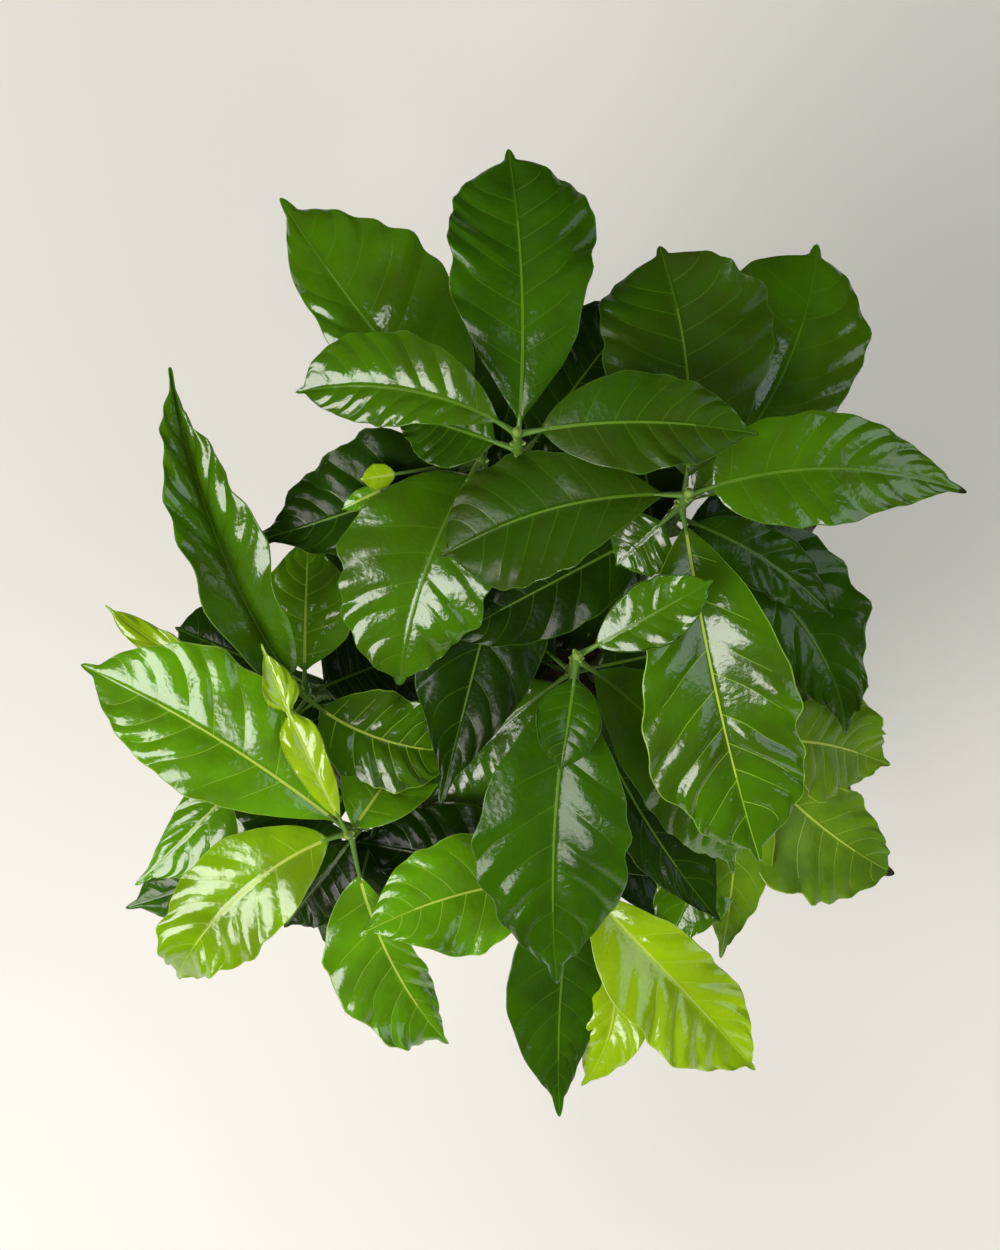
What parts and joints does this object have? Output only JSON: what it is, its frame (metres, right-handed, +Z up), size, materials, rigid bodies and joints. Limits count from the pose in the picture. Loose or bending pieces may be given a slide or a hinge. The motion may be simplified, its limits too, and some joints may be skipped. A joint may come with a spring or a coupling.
{
  "type": "potted coffee plant",
  "caption": "Young coffee plant: slim seedlings leaning out of a plain round pot under a full crown of large glossy pointed leaves.",
  "frame": {"origin": "centre of the pot's flat underside", "axes": "+Z up along the pot's axis, +Y to the back of the plant and +X to its right, as seen from above"},
  "size_m": [0.3287, 0.3788, 0.3817],
  "materials": {
    "pot_clay": "satin",
    "potting_soil": "matte",
    "bark": "matte",
    "leaf": "gloss"
  },
  "bodies": {
    "root": {"pot": "pot_clay", "soil": "potting_soil", "stem_back": "bark", "stem_back_right": "bark", "stem_middle": "bark", "stem_front_left": "bark", "stem_left": "bark", "stem_back_left": "bark", "stem_right": "bark", "stem_front": "bark", "leaves_back": "leaf", "leaves_back_right": "leaf", "leaves_middle": "leaf", "leaves_front_left": "leaf", "leaves_left": "leaf", "leaves_back_left": "leaf", "leaves_right": "leaf", "leaves_front": "leaf"}
  },
  "joints": []
}
